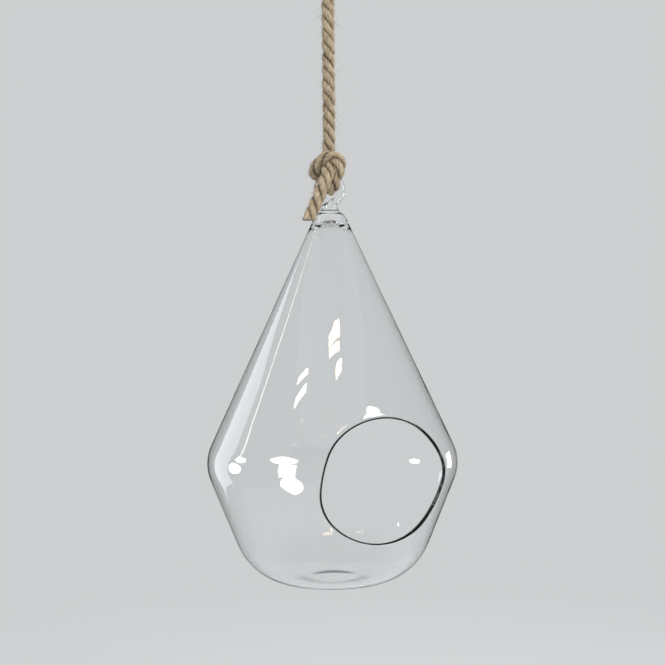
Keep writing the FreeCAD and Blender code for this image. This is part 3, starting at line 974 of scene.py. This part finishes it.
# The cards are only seen in reflections, or through glass. Their last values are a roll in
# degrees, a shape, and whether they are seen in a reflection and through glass.
CARDS = [
    ("key_card_high", -46, 26.5, 1.1, 0.48, 0.31, 12.0, "FFFFFF", 0, "ELLIPSE", True, False),
    ("key_card_middle", -40, 4, 1.1, 0.33, 0.60, 12.0, "FFFFFF", 0, "RECTANGLE", True, False),
    ("key_card_low", -33, -23, 0.2, 0.062, 0.110, 12.0, "FFFFFF", 0, "ELLIPSE", True, False),
    ("side_card", -97, -1, 1.2, 0.36, 0.34, 16.0, "F4F8FF", 0, "ELLIPSE", True, False),
    ("side_spot", -94.5, 15, 1.2, 0.28, 0.24, 16.0, "F4F8FF", 0, "ELLIPSE", False, True),
    ("strip_card", -97, 40, 1.2, 0.03, 1.10, 9.0, "FFF4E4", 0, "RECTANGLE", True, False),
    ("ring_card", 75, 8, 1.1, 0.16, 0.60, 12.0, "FFFFFF", 0, "RECTANGLE", True, False),
    ("upper_card", 52, 41.0, 1.2, 0.42, 0.016, 22.0, "F4F6FF", -13, "RECTANGLE", True, False),
    ("lamp_high", 7, 50.6, 1.2, 0.30, 0.018, 26.0, "FFE0B8", 2, "RECTANGLE", True, True),
    ("lamp_middle", 6, 49.5, 1.2, 0.26, 0.016, 26.0, "FFE0B8", 2, "RECTANGLE", True, True),
    ("lamp_low", 12.5, 47.7, 1.2, 0.15, 0.016, 26.0, "FFE0B8", 2, "RECTANGLE", True, True),
    ("lamp_left_high", -44.5, 44.3, 1.2, 0.19, 0.012, 26.0, "FFE8D8", 17, "RECTANGLE", True, True),
    ("lamp_left_low", -43, 42.9, 1.2, 0.19, 0.012, 26.0, "FFE8D8", 17, "RECTANGLE", True, True),
    ("window_card", -120, 2, 1.3, 0.60, 1.30, 2.4, "F2F6FF", 0, "RECTANGLE", True, False),
    ("rim_card", 131, 0, 1.2, 0.20, 0.30, 10.0, "FFFFFF", 0, "RECTANGLE", True, False),
]


def area_light(name, turn, elevation, distance, width, height, radiance, tint, roll=0, shape="RECTANGLE"):
    """An area light that faces the vase and isn't seen itself."""
    light = bpy.data.lights.new(name, "AREA")
    light.shape = shape
    light.size = width
    light.size_y = height
    light.color = linear(tint)
    light.energy = radiance * math.pi * width * height
    away = towards(math.radians(turn), math.radians(elevation))
    lamp = link(name, light)
    aim = Vector((0, 0, GLASS_LOW.z + settings()[0].shoulder_height))
    lamp.matrix_world = (
        Matrix.Translation(aim + away * distance) @ away.to_track_quat("Z", "Y").to_matrix().to_4x4()
        @ Matrix.Rotation(math.radians(roll), 4, "Z"))
    lamp.visible_camera = False
    return lamp


# Sines of the heights where the backdrop starts and ends to darken, and its level above them
CEILING_START = 0.55
CEILING_END = 0.9
CEILING_LEVEL = 0.35

# The felt flags' ring, its foot measured from the shoulder, and the grey of the felt
FLAG_SEGMENTS = 64
FLAG_RADIUS = 1.5
FLAG_FOOT = -1.0
FLAG_HEIGHT = 2.4
FELT_GREY = "3F3F3F"

# The floor's disc, and how far from the vase its paint starts and ends to fade out
FLOOR_SEGMENTS = 96
FLOOR_RADIUS = 1.8
FLOOR_FADE_START = 0.2
FLOOR_FADE_END = 0.75

# The camera's sensor in millimetres, and the nearest distance that it sees in metres
SENSOR_WIDTH = 36
CLIP_START = 0.01


def dark_flags(level):
    """Black felt flags all round, seen only in reflections, which draw the edges of the glass."""
    bm = bmesh.new()
    bmesh.ops.create_circle(bm, segments=FLAG_SEGMENTS, radius=FLAG_RADIUS)
    bmesh.ops.translate(bm, vec=(0, 0, level + FLAG_FOOT), verts=bm.verts)
    made = bmesh.ops.extrude_edge_only(bm, edges=bm.edges[:])["geom"]
    top = [item for item in made if isinstance(item, bmesh.types.BMVert)]
    bmesh.ops.translate(bm, vec=(0, 0, FLAG_HEIGHT), verts=top)
    flags = piece_from(bm, "studio_flags")
    material, tree = new_material("black_felt")
    felt = add_node(
        tree, "ShaderNodeBsdfPrincipled",
        {"Base Color": (*linear(FELT_GREY), 1), "Roughness": 1.0})
    add_node(tree, "ShaderNodeOutputMaterial", links={"Surface": felt.outputs["BSDF"]})
    flags.data.materials.append(material)
    flags.visible_camera = False
    flags.visible_diffuse = False
    flags.visible_transmission = False
    flags.visible_shadow = False


def pale_floor(colours):
    """Matt painted studio floor, which fades out into the backdrop far from the vase."""
    material, tree = new_material("pale_studio_floor")
    place = add_node(tree, "ShaderNodeTexCoord")
    reach = add_node(tree, "ShaderNodeVectorMath", {}, {0: place.outputs["Object"]}, operation="LENGTH")
    fade = add_node(
        tree, "ShaderNodeMapRange", {"From Min": FLOOR_FADE_START, "From Max": FLOOR_FADE_END},
        {"Value": reach.outputs["Value"]}, interpolation_type="SMOOTHSTEP")
    paint = add_node(
        tree, "ShaderNodeBsdfPrincipled",
        {"Base Color": (*colours.floor, 1), "Roughness": 0.9, "Specular IOR Level": 0.1})
    gone = add_node(tree, "ShaderNodeBsdfTransparent")
    mixed = add_node(
        tree, "ShaderNodeMixShader", {},
        {0: fade.outputs["Result"], 1: paint.outputs["BSDF"], 2: gone.outputs["BSDF"]})
    add_node(tree, "ShaderNodeOutputMaterial", links={"Surface": mixed.outputs["Shader"]})
    return material


def pale_backdrop(colours):
    """Evenly lit backdrop all round, with a darker ceiling that gives thin glass its contrast."""
    world = bpy.data.worlds.new("pale_backdrop")
    world.use_nodes = True
    tree = world.node_tree
    place = add_node(tree, "ShaderNodeTexCoord")
    parts = add_node(tree, "ShaderNodeSeparateXYZ", {}, {"Vector": place.outputs["Generated"]})
    dim = add_node(
        tree, "ShaderNodeMapRange",
        {"From Min": CEILING_START, "From Max": CEILING_END, "To Min": 1.0, "To Max": CEILING_LEVEL},
        {"Value": parts.outputs["Z"]}, interpolation_type="SMOOTHSTEP")
    backdrop = tree.nodes["Background"]
    backdrop.inputs["Color"].default_value = (*colours.backdrop, 1)
    tree.links.new(dim.outputs["Result"], backdrop.inputs["Strength"])
    return world


class VASE_OT_stage(Operator):
    """Set the camera, the pale floor and backdrop, and the soft boxes"""

    bl_idname = "vase.stage"
    bl_label = "Studio"

    def execute(self, context):
        glass, _, colours, stage = settings()
        aim = GLASS_LOW.z + glass.shoulder_height
        camera = bpy.data.cameras.new("camera")
        camera.sensor_width = SENSOR_WIDTH
        camera.lens = stage.lens
        camera.clip_start = CLIP_START
        viewer = link("camera", camera)
        place = towards(0, 0) * stage.distance + UP * (aim + stage.level)
        turn = Matrix.Rotation(stage.azimuth + stage.yaw, 4, "Z")
        viewer.matrix_world = (
            Matrix.Translation(place) @ turn @ Matrix.Rotation(math.pi / 2 - stage.pitch, 4, "X")
            @ Matrix.Rotation(stage.roll, 4, "Z"))
        context.scene.camera = viewer

        for row in SOFT_BOXES:
            box = area_light(*row)
            box.visible_glossy = False
            box.visible_transmission = False
        for *row, in_reflections, through_glass in CARDS:
            card = area_light(*row)
            card.visible_diffuse = False
            card.visible_glossy = in_reflections
            card.visible_transmission = through_glass
        dark_flags(aim)

        context.scene.world = pale_backdrop(colours)

        bm = bmesh.new()
        bmesh.ops.create_circle(bm, cap_ends=True, segments=FLOOR_SEGMENTS, radius=FLOOR_RADIUS)
        bmesh.ops.translate(bm, vec=(0, 0, GLASS_LOW.z - stage.floor_gap), verts=bm.verts)
        floor = piece_from(bm, "studio_floor")
        floor.data.materials.append(pale_floor(colours))

        context.scene.view_settings.view_transform = "Standard"
        return {"FINISHED"}


class VASE_PT_panel(Panel):
    """The vase's operators and values"""

    bl_label = "Hanging Vase"
    bl_space_type = "VIEW_3D"
    bl_region_type = "UI"
    bl_category = "Vase"

    def draw(self, context):
        """Show a button for each operator and a field for each value."""
        layout = self.layout
        for button in (VASE_OT_stage, VASE_OT_rope, VASE_OT_glass):
            layout.operator(button.bl_idname)
        for values in settings():
            for name in values.bl_rna.properties.keys():
                if name not in ("rna_type", "name"):
                    layout.prop(values, name)


GROUPS = {
    "vase_glass": VaseGlassSizes,
    "vase_rope": VaseRopeSizes,
    "vase_colours": VaseColours,
    "vase_stage": VaseStage,
}
CLASSES = (*GROUPS.values(), VASE_OT_stage, VASE_OT_rope, VASE_OT_glass, VASE_PT_panel)


def register():
    """Add the groups of values, the operators and the panel."""
    for item in CLASSES:
        bpy.utils.register_class(item)
    for name, group in GROUPS.items():
        setattr(bpy.types.Scene, name, PointerProperty(type=group))


def unregister():
    """Take everything out again that register adds."""
    for name in GROUPS:
        delattr(bpy.types.Scene, name)
    for item in reversed(CLASSES):
        bpy.utils.unregister_class(item)


def main():
    """Build the studio, the rope and the glass."""
    register()
    bpy.ops.vase.stage()
    bpy.ops.vase.rope()
    bpy.ops.vase.glass()


if __name__ == "__main__":
    main()
